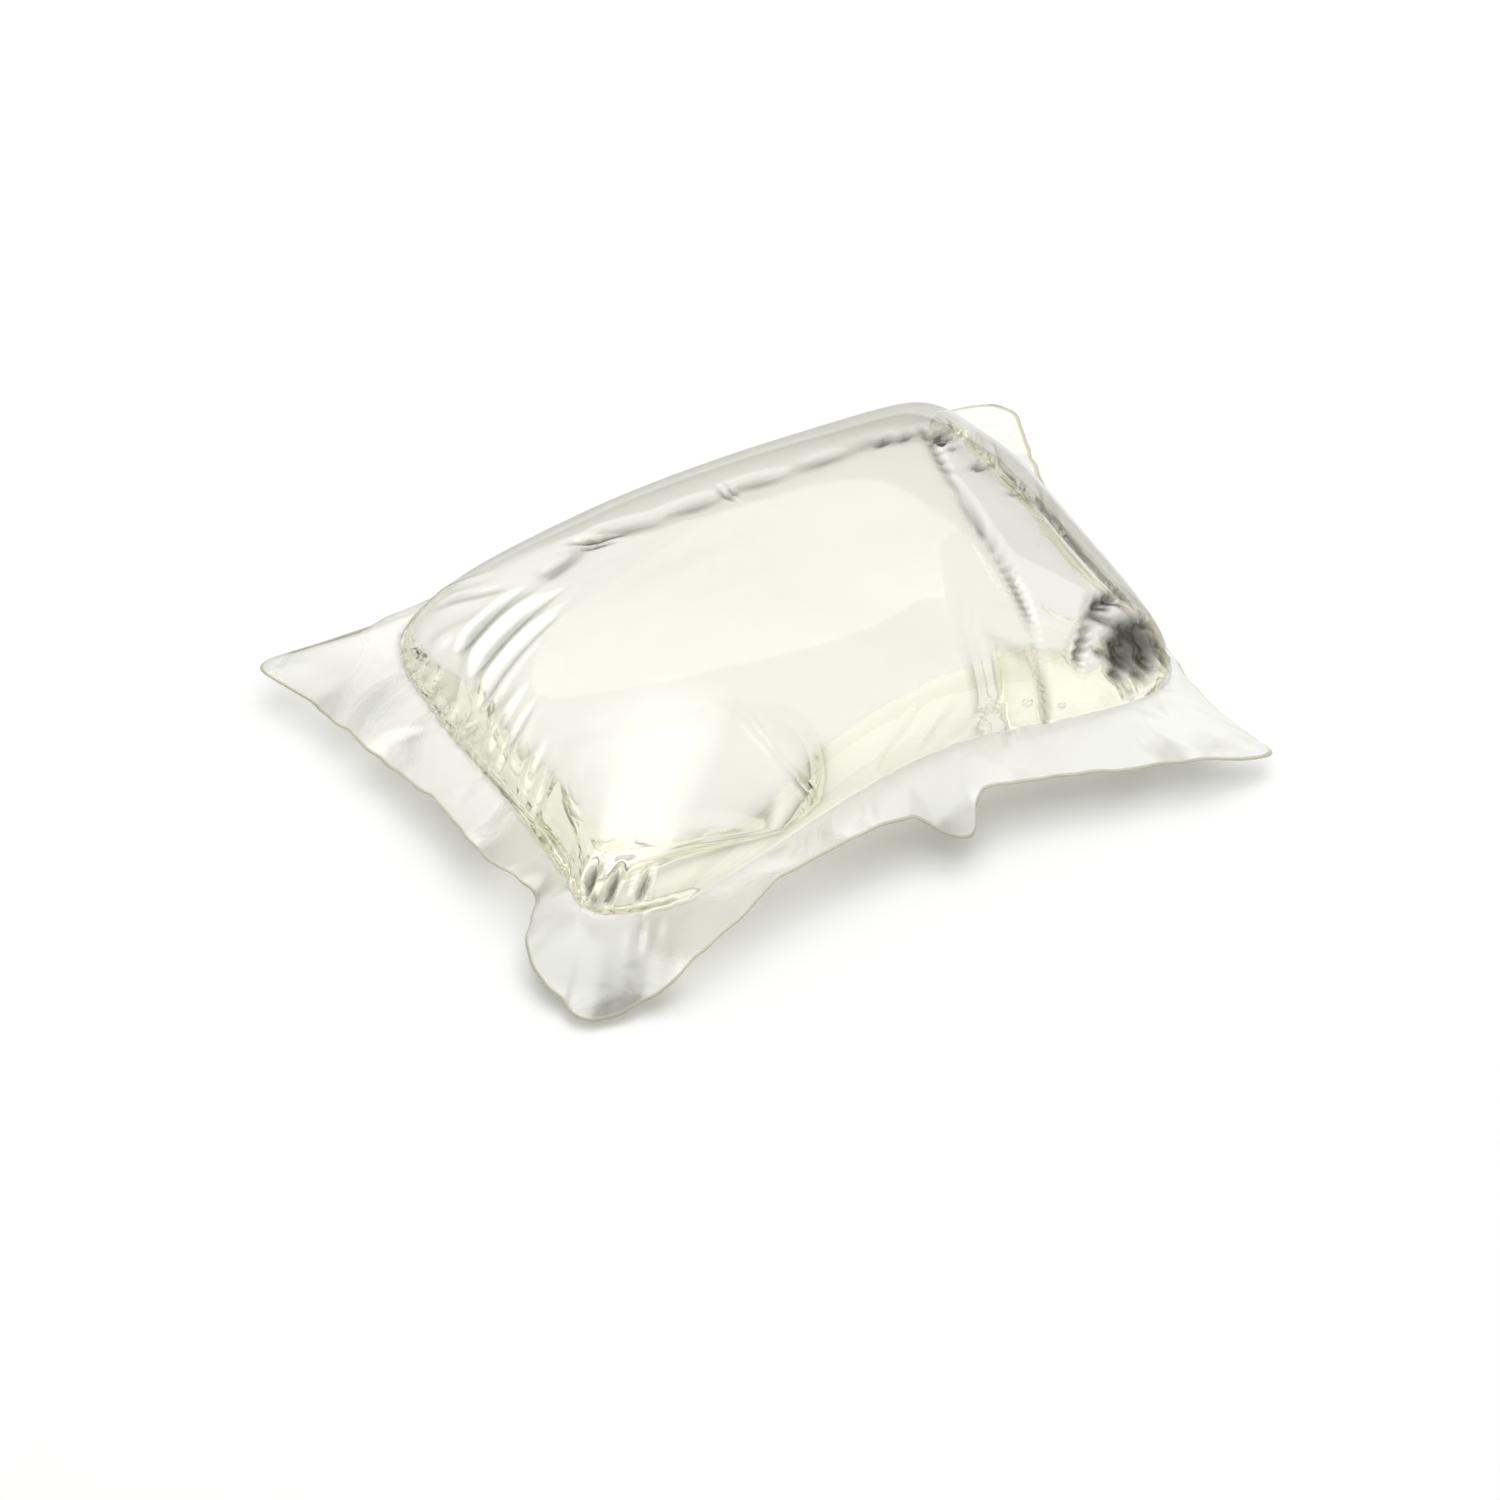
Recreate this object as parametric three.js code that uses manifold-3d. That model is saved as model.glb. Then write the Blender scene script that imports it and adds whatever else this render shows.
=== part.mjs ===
// A sealed liquid pod for one wash: a pocket of clear film filled with pale detergent.
// Millimetres, +Z up. It lies on its flat belly, and the middle of its outline is the origin.
import * as THREE from "three";
import Module from "manifold-3d";

const wasm = await Module();
wasm.setup();

// Overall sizes.
const LENGTH = 67; // over the cut edge, left tip to right tip
const WIDTH = 46.8; // over the cut edge, front tip to back tip
const SEAM_HEIGHT = 4.8; // from the floor to the heat seal
const CROWN = 10.8; // from the heat seal to the top of the pocket

// The flat rim of doubled film round the pocket.
const RIM_END = 6.1; // mean breadth beyond each end of the pocket
const RIM_SIDE = 4.1; // mean breadth beyond each long side
const RIM_LEAST = 0.8; // the seal is nowhere narrower than this
const RIM_DROOP = 1.5; // 1 is straight out to the cut edge, more stays level and then falls
const POCKET_RIGHT = 2.75; // the pocket sits this far right of the rim's middle
const POCKET_BACK = 1.65; // and this far behind it

// The film, and how the filled pocket bulges.
const FILM = 0.08;
const CREST_RIGHT = 0.65; // the crest, measured from the pocket's middle
const CREST_BACK = 1.15;
const CREST_ROUND = 2.3; // 2 makes level lines near the crest ellipses, more makes them squarer
const BELLY_FLAT = 0.62; // share of the pocket that lies flat on the floor
const BELLY_ROUND = [2.0, 0.62];
// How full the pocket is towards each side: the first number puts off the fall, the second
// rounds it. The right end is blunt, and the left end and the front slope gently.
const FULL = { front: [2.3, 0.62], right: [5.0, 0.5], back: [3.9, 0.54], left: [2.5, 0.8] };

// The bubble of air at the right end: a squared egg whose lower half dents the liquid.
const BUBBLE_IN = 11.5; // from the right end of the pocket to the bubble's left side
const BUBBLE_PAST = 2.0; // its middle lies this far beyond the pocket's right end
const BUBBLE_BACK = -8; // and this far behind the rim's middle, or in front of it
const BUBBLE_HEIGHT = 12.5; // its middle above the floor
const BUBBLE_DEPTH = 8.5; // its middle to its lowest point
const BUBBLE_BREADTH = 24; // its middle to its front or back
const BUBBLE_SQUARENESS = 3;

// The film shrinks and creases as it dries, so the rim is a squared oval drawn out of shape by
// folds. Each row holds a fold's place round the pod in quarter turns, anticlockwise from the
// front left corner, then its reach either way, then how far it moves the edge right, back and up.
const RIM_SQUARENESS = 20;
const RIM_FOLDS = [
  [3.942, 0.288, 1.76, 1.65, -2.73], // the front left corner, which droops
  [0.144, 0.24, 1.16, -1.15, -2.11], // and its front edge
  [0.536, 0.537, 1.55, 5.4, -0.44], // the front side, drawn in
  [0.574, 0.052, -0.25, -2.08, -1.41], // the small spike in its middle
  [0.934, 0.352, -1.2, -0.58, -1.62], // the run up to the right tip
  [0.995, 0.09, 2.33, -0.72, -1.74], // the right tip
  [1.173, 0.224, -1.37, 1.64, -0.4], // the fold behind it
  [1.62, 0.744, -3.37, -1.32, -0.09], // the right side, drawn in
  [1.81, 0.224, 0.51, -1.56, 0.4], // the back right corner, rounded
  [1.979, 0.171, 0.7, -1.85, 0.59],
  [2.492, 0.96, 2.74, -1.42, -0.04], // the back side
  [2.99, 0.114, -2.48, 1.62, -0.2], // the left tip
  [3.106, 0.4, -0.47, -0.68, -1.83], // the rim below it
  [3.586, 0.667, 5.33, -0.61, -1.62], // the left side, drawn in
  [3.753, 0.192, 1.91, 0.21, 0.79], // the notch beside the drooping corner
  [3.846, 0.115, -1.77, 0.95, 0.29], // the flap that stands out from the notch
];
const SEAL_SQUARENESS = 10.4;
const SEAL_FOLDS = [
  [3.996, 0.177, -0.39, 1.75, -0.13], // the front left corner, wide and round
  [0.242, 0.48, -0.7, -3.59, -0.22],
  [0.46, 0.576, 1.24, 6.15, -0.04], // the front side, bowed in
  [0.86, 0.262, 0.74, -0.41, -0.08],
  [1.03, 0.4, 0.67, 1.08, -0.08], // the front right corner
  [1.42, 0.691, -0.39, 2.08, 0.49], // the right end
  [1.973, 0.395, -1.81, -0.45, 0.4], // the back right corner, round
  [2.506, 0.686, 0.89, -0.26, 0.19], // the back side
  [2.88, 0.299, 0.87, 0.3, 0.09], // the back left corner
  [3.309, 0.441, 0.05, -0.2, -0.21], // the left end
  [3.739, 0.441, 1.05, 0.16, -0.4],
];
// Where the rim fans out to a tip or a notch, the seal's stations hang back or run ahead, so that
// the film between seal and edge never doubles over: place, reach and how far back.
const SEAL_LAGS = [
  [1.13, 0.34, 0.12],
  [2.92, 0.2, -0.03],
  [3.74, 0.28, -0.08],
];

// How finely the surfaces are laid out.
const STEP = 0.045; // quarter turns between two stations
const NARROW = 0.12; // a fold with less reach than this has closer stations
const STEPS_IN_NARROW = 4;
const DOME_RINGS = [0.16, 0.32, 0.47, 0.6, 0.71, 0.8, 0.875, 0.93, 0.97, 1];
const BELLY_RINGS = [0.31, BELLY_FLAT, 0.73, 0.82, 0.9, 0.96, 1];
const RIM_RINGS = [0.34, 0.67, 1];

const POCKET_LENGTH = LENGTH - 2 * RIM_END;
const POCKET_WIDTH = WIDTH - 2 * RIM_SIDE;
const CREST = [POCKET_RIGHT + CREST_RIGHT, POCKET_BACK + CREST_BACK];

// Which way a station faces from the middle of the pod, on a unit square.
function facing(s) {
  const side = Math.floor(s) % 4;
  const f = 2 * (s - Math.floor(s)) - 1;
  return [[f, -1], [1, f], [-f, 1], [-1, -f]][side];
}

// A squared oval: 2 is an ellipse, and more comes nearer to a rectangle.
function oval(s, halfLength, halfWidth, squareness) {
  const [fx, fy] = facing(s);
  const g = (Math.abs(fx) ** squareness + Math.abs(fy) ** squareness) ** (-1 / squareness);
  return [halfLength * fx * g, halfWidth * fy * g];
}

// How strongly a fold pulls at a station: 1 at its middle, easing to 0 at its reach.
function pull(s, at, reach) {
  const away = Math.abs(((s - at + 6) % 4) - 2) / reach;
  return away < 1 ? (1 - away * away) ** 2 : 0;
}

// The stations: evenly spaced between the corners, and closer through each narrow fold.
const STATIONS = [];
{
  const narrow = [...RIM_FOLDS, ...SEAL_FOLDS].filter((f) => f[1] < NARROW);
  const marks = narrow.flatMap(([at, reach]) => [at - reach, at, at + reach]);
  const sorted = [0, 1, 2, 3, ...marks.map((m) => (m + 4) % 4)]
    .sort((a, b) => a - b)
    .filter((m, i, all) => i === 0 || m - all[i - 1] > STEP / 4);
  sorted.forEach((m, i) => {
    const end = i + 1 < sorted.length ? sorted[i + 1] : 4;
    const middle = (m + end) / 2;
    const fold = narrow.find(([at, reach]) => Math.abs(middle - at) < reach);
    const parts = Math.ceil((end - m) / (fold ? fold[1] / STEPS_IN_NARROW : STEP) - 0.01);
    for (let p = 0; p < parts; p++) STATIONS.push(m + ((end - m) * p) / parts);
  });
}
const COUNT = STATIONS.length;

// A folded edge, fitted exactly to the length and width it is meant to have. What droops to
// the floor lies on it.
function foldedEdge(length, width, squareness, folds, lags, midX, midY) {
  const raw = STATIONS.map((station) => {
    const s = lags.reduce((t, [at, reach, back]) => t - back * pull(station, at, reach), station);
    const p = [...oval(s, length / 2, width / 2, squareness), SEAM_HEIGHT];
    for (const [at, reach, ...move] of folds)
      move.forEach((m, c) => (p[c] += m * pull(s, at, reach)));
    return p;
  });
  const span = [0, 1].map((c) => {
    const v = raw.map((p) => p[c]);
    return [Math.min(...v), Math.max(...v)];
  });
  return raw.map((p) => [
    midX + ((p[0] - (span[0][0] + span[0][1]) / 2) / (span[0][1] - span[0][0])) * length,
    midY + ((p[1] - (span[1][0] + span[1][1]) / 2) / (span[1][1] - span[1][0])) * width,
    Math.max(p[2], FILM),
  ]);
}

const seam = foldedEdge(
  POCKET_LENGTH, POCKET_WIDTH, SEAL_SQUARENESS, SEAL_FOLDS, SEAL_LAGS, POCKET_RIGHT, POCKET_BACK);
const loose = foldedEdge(LENGTH, WIDTH, RIM_SQUARENESS, RIM_FOLDS, [], 0, 0);
const cutEdge = loose.map((p, i) => {
  const before = seam[(i + COUNT - 1) % COUNT];
  const after = seam[(i + 1) % COUNT];
  const run = Math.hypot(after[0] - before[0], after[1] - before[1]);
  const out = [(after[1] - before[1]) / run, (before[0] - after[0]) / run];
  const breadth = (p[0] - seam[i][0]) * out[0] + (p[1] - seam[i][1]) * out[1];
  const push = Math.max(RIM_LEAST - breadth, 0);
  return [p[0] + out[0] * push, p[1] + out[1] * push, p[2]];
});

// A point of a level line: k is 0 at the crest and 1 at the seal.
function level(i, k) {
  const round = oval(STATIONS[i], POCKET_LENGTH / 2, POCKET_WIDTH / 2, CREST_ROUND);
  const w = k ** 3;
  return CREST.map((c, d) => c + k * ((1 - w) * round[d] + w * (seam[i][d] - c)));
}

// 1 at the crest and 0 at the seal.
function fullness(i, k) {
  const [fx, fy] = facing(STATIONS[i]);
  const r = fx * fx + fy * fy;
  let wx = ((fx * fx) / r) ** 1.5;
  let wy = ((fy * fy) / r) ** 1.5;
  [wx, wy] = [wx / (wx + wy), wy / (wx + wy)];
  const a = fx > 0 ? FULL.right : FULL.left;
  const b = fy > 0 ? FULL.back : FULL.front;
  return Math.max(1 - k ** (wx * a[0] + wy * b[0]), 0) ** (wx * a[1] + wy * b[1]);
}

// The inside of the pocket film, the inside of the lid film, and the plane where they are sealed.
function domePoint(i, k) {
  return new THREE.Vector3(
    ...level(i, k),
    SEAM_HEIGHT * (1 - k * k) + seam[i][2] * k * k + CROWN * fullness(i, k),
  );
}
function bellyPoint(i, k) {
  const u = Math.max((k - BELLY_FLAT) / (1 - BELLY_FLAT), 0);
  const rise = 1 - Math.max(1 - u ** BELLY_ROUND[0], 0) ** BELLY_ROUND[1];
  return new THREE.Vector3(...level(i, k), FILM + (seam[i][2] - FILM) * rise);
}
function rimPoint(i, j) {
  const a = seam[i];
  const b = cutEdge[i];
  return new THREE.Vector3(
    a[0] + (b[0] - a[0]) * j,
    a[1] + (b[1] - a[1]) * j,
    a[2] + (b[2] - a[2]) * j ** RIM_DROOP,
  );
}

const around = [...Array(COUNT).keys()];
const dome = DOME_RINGS.map((k) => around.map((i) => domePoint(i, k)));
const belly = BELLY_RINGS.map((k) => around.map((i) => bellyPoint(i, k)));
const rim = RIM_RINGS.map((j) => around.map((i) => rimPoint(i, j)));
dome[dome.length - 1] = belly[belly.length - 1] = around.map((i) => rimPoint(i, 0));
const domeTop = new THREE.Vector3(...CREST, SEAM_HEIGHT + CROWN);
const bellyMiddle = new THREE.Vector3(...CREST, FILM);

// The same sheet one film away, on its upper or lower face.
function offset(middle, rings, distance) {
  const unit = (a, b) => b.clone().sub(a).normalize();
  const moved = rings.map((ring, r) => ring.map((p, i) => {
    const round = unit(ring[(i + COUNT - 1) % COUNT], p).add(unit(p, ring[(i + 1) % COUNT]));
    const out = unit(r === 0 ? middle : rings[r - 1][i], p);
    if (r + 1 < rings.length) out.add(unit(p, rings[r + 1][i]));
    const normal = out.cross(round).normalize();
    return p.clone().addScaledVector(normal, distance);
  }));
  return [middle.clone().setZ(middle.z + distance), moved];
}

// Triangles of a sheet of rings round one middle point, facing up, or down if turned over.
function sheet(out, middle, rings, down) {
  const tri = (a, b, c) => out.push(...(down ? [a, c, b] : [a, b, c]));
  around.forEach((i) => {
    const n = (i + 1) % COUNT;
    tri(middle, rings[0][i], rings[0][n]);
    for (let r = 0; r + 1 < rings.length; r++) {
      tri(rings[r][i], rings[r + 1][i], rings[r + 1][n]);
      tri(rings[r][i], rings[r + 1][n], rings[r][n]);
    }
  });
}
function edgeBand(out, low, high) {
  around.forEach((i) => {
    const n = (i + 1) % COUNT;
    out.push(low[i], low[n], high[n], low[i], high[n], high[i]);
  });
}
function toGeometry(points) {
  return new THREE.BufferGeometry().setFromPoints(points);
}

const group = new THREE.Group();
function add(name, geometry, color, opacity) {
  geometry.computeVertexNormals();
  const material = new THREE.MeshStandardMaterial({
    color, roughness: 0.08, transparent: true, opacity,
  });
  const mesh = new THREE.Mesh(geometry, material);
  mesh.name = name;
  group.add(mesh);
}

// Pocket film: drawn up into a dome over the liquid, with the upper layer of the rim.
{
  const rings = [...dome, ...rim];
  const [top, upper] = offset(domeTop, rings, FILM);
  const points = [];
  sheet(points, domeTop, rings, true);
  sheet(points, top, upper, false);
  edgeBand(points, rings.at(-1), upper.at(-1));
  add("pocket_film", toGeometry(points), 0xf6f6ee, 0.35);
}

// Lid film: sags into a shallow belly with a flat patch on the floor, and backs the rim.
{
  const rings = [...belly, ...rim];
  const [bottom, lower] = offset(bellyMiddle, rings, -FILM);
  const points = [];
  sheet(points, bellyMiddle, rings, false);
  sheet(points, bottom, lower, true);
  edgeBand(points, lower.at(-1), rings.at(-1));
  add("lid_film", toGeometry(points), 0xf2f2ea, 0.35);
}

// Detergent: fills the pocket against both films, but for the bubble of air at the right end.
{
  const points = [];
  sheet(points, domeTop, dome, false);
  sheet(points, bellyMiddle, belly, true);
  const ids = new Map();
  const flat = [];
  const triVerts = new Uint32Array(points.map((p) => {
    const key = p.toArray().map((v) => v.toFixed(6)).join();
    if (!ids.has(key)) {
      ids.set(key, ids.size);
      flat.push(p.x, p.y, p.z);
    }
    return ids.get(key);
  }));
  const full = new wasm.Manifold(
    new wasm.Mesh({ numProp: 3, vertProperties: new Float32Array(flat), triVerts }));
  const right = POCKET_RIGHT + POCKET_LENGTH / 2;
  const bubble = wasm.Manifold.sphere(1, 64)
    .warp((v) => {
      const n = BUBBLE_SQUARENESS;
      const g = v.reduce((sum, c) => sum + Math.abs(c) ** n, 0) ** (-1 / n);
      v.forEach((c, i) => (v[i] = c * g));
    })
    .scale([BUBBLE_IN + BUBBLE_PAST, BUBBLE_BREADTH, BUBBLE_DEPTH])
    .translate([right + BUBBLE_PAST, BUBBLE_BACK, BUBBLE_HEIGHT]);
  const left = full.subtract(bubble).getMesh();
  const geometry = new THREE.BufferGeometry();
  geometry.setAttribute("position", new THREE.BufferAttribute(left.vertProperties, 3));
  geometry.setIndex(new THREE.BufferAttribute(left.triVerts, 1));
  add("detergent", geometry, 0xf0eed2, 0.6);
}

export default group;
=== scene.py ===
import math

import bmesh
import bpy
import numpy as np
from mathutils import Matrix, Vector


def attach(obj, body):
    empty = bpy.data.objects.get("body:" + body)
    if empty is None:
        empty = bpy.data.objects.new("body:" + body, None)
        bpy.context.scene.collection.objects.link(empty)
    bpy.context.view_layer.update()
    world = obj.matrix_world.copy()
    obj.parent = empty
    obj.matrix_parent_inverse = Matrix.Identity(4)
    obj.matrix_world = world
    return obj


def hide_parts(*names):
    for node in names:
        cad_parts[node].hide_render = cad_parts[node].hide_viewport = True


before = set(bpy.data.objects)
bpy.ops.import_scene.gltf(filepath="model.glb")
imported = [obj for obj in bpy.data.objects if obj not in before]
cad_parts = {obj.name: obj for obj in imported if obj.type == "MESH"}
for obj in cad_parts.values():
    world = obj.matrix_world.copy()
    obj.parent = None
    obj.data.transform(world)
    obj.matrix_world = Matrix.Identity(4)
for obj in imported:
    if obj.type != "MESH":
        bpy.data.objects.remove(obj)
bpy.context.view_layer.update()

# The pocket film is a clear water-soluble sheet, 0.08 mm thick. It is drawn warm into a mould, so it
# stands up as a dome over the dose, and its margin is the upper layer of the flat rim. Once filled
# and heat-sealed it shrinks a little, which gathers it into pleats all round the seal.

MM = 0.001  # the sizes below are in millimetres
FILM = 0.08
LENGTH, WIDTH = 67.0, 46.8  # over the cut edge
SEAM_HEIGHT = 4.8  # from the table to the heat seal
CROWN = 10.8  # from the heat seal to the top of the dome
RIM_END, RIM_SIDE = 6.1, 4.1  # mean breadth of the rim beyond the pocket's ends and long sides
RIM_LEAST = 0.8
RIM_DROOP = 1.5  # 1 is straight out to the cut edge, more stays level and then falls
POCKET_MIDDLE = np.array([2.75, 1.65])
POCKET_LENGTH, POCKET_WIDTH = LENGTH - 2 * RIM_END, WIDTH - 2 * RIM_SIDE
CREST = POCKET_MIDDLE + [0.65, 1.15]
CREST_ROUND = 2.3  # 2 makes the level lines near the crest ellipses, more makes them squarer
SEAL_LIKENESS = 3  # the higher, the later the level lines take on the shape of the seal
CORNER_SHARE = 3  # the higher, the less the ends and the long sides share the corners
# How full the pocket is towards each side: the first number puts off the fall, the second rounds it.
FULL_FRONT, FULL_RIGHT, FULL_BACK, FULL_LEFT = (2.3, 0.62), (5.0, 0.5), (3.9, 0.54), (2.5, 0.8)

# Folds that draw an edge out of a squared oval: place in quarter turns from the front left corner,
# reach, and the move to the right, to the back and up.
RIM_SQUARENESS = 20
RIM_FOLDS = [
    (3.942, 0.288, 1.76, 1.65, -2.73), (0.144, 0.24, 1.16, -1.15, -2.11),
    (0.536, 0.537, 1.55, 5.4, -0.44), (0.574, 0.052, -0.25, -2.08, -1.41),
    (0.934, 0.352, -1.2, -0.58, -1.62), (0.995, 0.09, 2.33, -0.72, -1.74),
    (1.173, 0.224, -1.37, 1.64, -0.4), (1.62, 0.744, -3.37, -1.32, -0.09),
    (1.81, 0.224, 0.51, -1.56, 0.4), (1.979, 0.171, 0.7, -1.85, 0.59),
    (2.492, 0.96, 2.74, -1.42, -0.04), (2.99, 0.114, -2.48, 1.62, -0.2),
    (3.106, 0.4, -0.47, -0.68, -1.83), (3.586, 0.667, 5.33, -0.61, -1.62),
    (3.753, 0.192, 1.91, 0.21, 0.79), (3.846, 0.115, -1.77, 0.95, 0.29),
]
SEAL_SQUARENESS = 10.4
SEAL_FOLDS = [
    (3.996, 0.177, -0.39, 1.75, -0.13), (0.242, 0.48, -0.7, -3.59, -0.22),
    (0.46, 0.576, 1.24, 6.15, -0.04), (0.86, 0.262, 0.74, -0.41, -0.08),
    (1.03, 0.4, 0.67, 1.08, -0.08), (1.42, 0.691, -0.39, 2.08, 0.49),
    (1.973, 0.395, -1.81, -0.45, 0.4), (2.506, 0.686, 0.89, -0.26, 0.19),
    (2.88, 0.299, 0.87, 0.3, 0.09), (3.309, 0.441, 0.05, -0.2, -0.21),
    (3.739, 0.441, 1.05, 0.16, -0.4),
]
# Where the rim fans out, the seal's stations hang back or run ahead: place, reach and how far back.
SEAL_LAGS = [(1.13, 0.34, 0.12), (2.92, 0.2, -0.03), (3.74, 0.28, -0.08)]

AROUND = 640  # stations round the pod
DOME_ROWS, RIM_ROWS = 52, 13
CLOSER_BELOW = 1.5  # above 1 the dome's rings lie closer towards the seal
DOME_RINGS = 1 - (1 - np.linspace(0.0, 1.0, DOME_ROWS + 1)[1:]) ** CLOSER_BELOW
RIM_RINGS = np.linspace(0.0, 1.0, RIM_ROWS + 1)[1:]
CUT_EDGE = 0.26  # breadth of the line that the cut and its tiny bead show as
stations = np.arange(AROUND) * 4.0 / AROUND


def facing(s):
    side = np.floor(s).astype(int) % 4
    f = 2 * (s - np.floor(s)) - 1
    one = np.ones_like(f)
    return np.choose(side, [f, one, -f, -one]), np.choose(side, [-one, f, one, -f])


def squared_oval(s, half_length, half_width, squareness):
    fx, fy = facing(s)
    reach = (np.abs(fx) ** squareness + np.abs(fy) ** squareness) ** (-1 / squareness)
    return np.stack([half_length * fx * reach, half_width * fy * reach], -1)


def pull(s, at, reach):
    away = np.abs((s - at + 6) % 4 - 2) / reach
    return np.where(away < 1, (1 - away * away) ** 2, 0.0)


def folded_edge(length, width, squareness, folds, lags, middle):
    s = stations.copy()
    for at, reach, back in lags:
        s -= back * pull(stations, at, reach)
    flat = squared_oval(s, length / 2, width / 2, squareness)
    edge = np.column_stack([flat, np.full(AROUND, SEAM_HEIGHT)])
    for at, reach, *move in folds:
        edge += pull(s, at, reach)[:, None] * np.array(move)
    low, high = edge[:, :2].min(0), edge[:, :2].max(0)
    edge[:, :2] = middle + (edge[:, :2] - (low + high) / 2) / (high - low) * (length, width)
    edge[:, 2] = np.maximum(edge[:, 2], FILM)
    return edge


seal = folded_edge(POCKET_LENGTH, POCKET_WIDTH, SEAL_SQUARENESS, SEAL_FOLDS, SEAL_LAGS, POCKET_MIDDLE)
cut = folded_edge(LENGTH, WIDTH, RIM_SQUARENESS, RIM_FOLDS, [], np.zeros(2))
along = np.roll(seal, -1, 0)[:, :2] - np.roll(seal, 1, 0)[:, :2]
along /= np.linalg.norm(along, axis=1)[:, None]
outward = np.stack([along[:, 1], -along[:, 0]], -1)
breadth = ((cut - seal)[:, :2] * outward).sum(1)
cut[:, :2] += outward * np.maximum(RIM_LEAST - breadth, 0)[:, None]

# Tips drawn out to points, each a fold as above, and the slight wobble of the hot knife along the
# cut: waves in one turn round the pod, size and phase.
TIPS = [(0.58, 0.03, 0.45, -0.95, 0.1), (2.985, 0.045, -0.55, 0.25, 0.0), (0.995, 0.03, 0.3, -0.1, 0.0)]
WOBBLE = [(31, 0.09, 0.4), (53, 0.06, 2.1), (83, 0.04, 4.0)]
for at, reach, *move in TIPS:
    cut += pull(stations, at, reach)[:, None] * np.array(move)
for waves, size, phase in WOBBLE:
    cut[:, :2] += outward * (size * np.sin(math.tau * waves * stations / 4 + phase))[:, None]

seal_run = np.linalg.norm(np.roll(seal, -1, 0) - seal, axis=1)
ROUND = seal_run.sum()  # length of the seal, about 174 mm
place = np.concatenate([[0], np.cumsum(seal_run)[:-1]])  # each station's place along the seal


def past(at, p):
    return (p - at + ROUND / 2) % ROUND - ROUND / 2  # how far p lies past a place along the seal


def level_line(k):
    flat = squared_oval(stations, POCKET_LENGTH / 2, POCKET_WIDTH / 2, CREST_ROUND)
    w = k ** SEAL_LIKENESS
    return CREST + k * ((1 - w) * flat + w * (seal[:, :2] - CREST))


def dome_ring(k):
    fx, fy = facing(stations)
    end, side = np.abs(fx) ** CORNER_SHARE, np.abs(fy) ** CORNER_SHARE
    end, side = end / (end + side), side / (end + side)
    a = np.where(fx[:, None] > 0, FULL_RIGHT, FULL_LEFT)
    b = np.where(fy[:, None] > 0, FULL_BACK, FULL_FRONT)
    fall = end * a[:, 0] + side * b[:, 0]
    rounding = end * a[:, 1] + side * b[:, 1]
    full = np.maximum(1 - k ** fall, 0) ** rounding
    z = SEAM_HEIGHT * (1 - k * k) + seal[:, 2] * k * k + CROWN * full
    return np.column_stack([level_line(k), z])


def rim_ring(j):
    j = j * np.ones(AROUND)
    return seal + (cut - seal) * np.column_stack([j, j, j ** RIM_DROOP])


# Pleats and puckers: place along the seal, distance up the film where each starts and ends (below
# zero is out on the rim), lean, half width and height.
PLEATS = [
    # The fan at the back left corner.
    (138.2, 4.4, 12.5, 0.32, 0.45, -0.45), (136.0, 3.0, 10.0, 0.2, 0.7, 0.25),
    (145.2, 4.6, 13.5, -0.50, 0.55, -0.85), (146.9, 4.2, 15.5, -0.45, 0.65, 0.75),
    (148.6, 4.0, 16.5, -0.42, 0.5, -0.80), (150.2, 3.5, 16.0, -0.40, 0.5, 0.55),
    (151.7, 3.0, 15.0, -0.38, 0.45, -0.60), (142.4, 3.0, 9.0, 0.05, 0.9, 0.3),
    # The left end.
    (155.0, 1.0, 9.0, -0.30, 0.6, 0.35), (157.4, 0.8, 8.5, -0.25, 0.45, -0.35),
    (160.5, 0.6, 7.0, -0.15, 0.6, 0.25), (163.0, 0.5, 6.0, 0.0, 0.5, -0.25),
    # Three short deep ones at the front left corner, and a crease in its flap.
    (172.2, 0.9, 3.9, 0.0, 0.42, -1.5), (0.2, 0.9, 4.0, 0.05, 0.42, -1.5),
    (2.8, 0.8, 3.6, 0.1, 0.38, -1.3), (3.4, -3.6, 0.9, 0.0, 0.4, -0.34),
    # The front side and its rim.
    (26.0, 1.0, 6.0, 1.4, 0.4, -0.3), (30.5, 0.8, 5.0, 1.3, 0.4, -0.3),
    (35.5, 0.6, 4.2, 1.2, 0.35, -0.3), (38.5, -2.2, 1.4, 0.5, 0.5, -0.30),
    (34.0, -1.6, 1.6, 0.4, 0.5, 0.22), (28.0, -1.2, 1.5, 0.3, 0.45, -0.2),
    # The back side, the right end and the front right corner.
    (126.5, 0.5, 5.5, 0.1, 0.8, -0.45), (128.6, 0.5, 5.0, -0.1, 0.6, 0.4),
    (113.0, 0.4, 4.2, 0.1, 0.7, -0.3), (84.0, 0.4, 5.0, 0.2, 0.7, -0.4),
    (81.2, 0.4, 4.6, 0.1, 0.6, 0.34), (74.5, 0.4, 4.0, -0.1, 0.7, -0.34),
    (55.0, 0.3, 4.5, 0.2, 0.8, -0.45), (52.6, 0.3, 4.0, 0.0, 0.6, 0.4),
    (49.0, 0.3, 3.6, -0.1, 0.5, -0.35),
]
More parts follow.
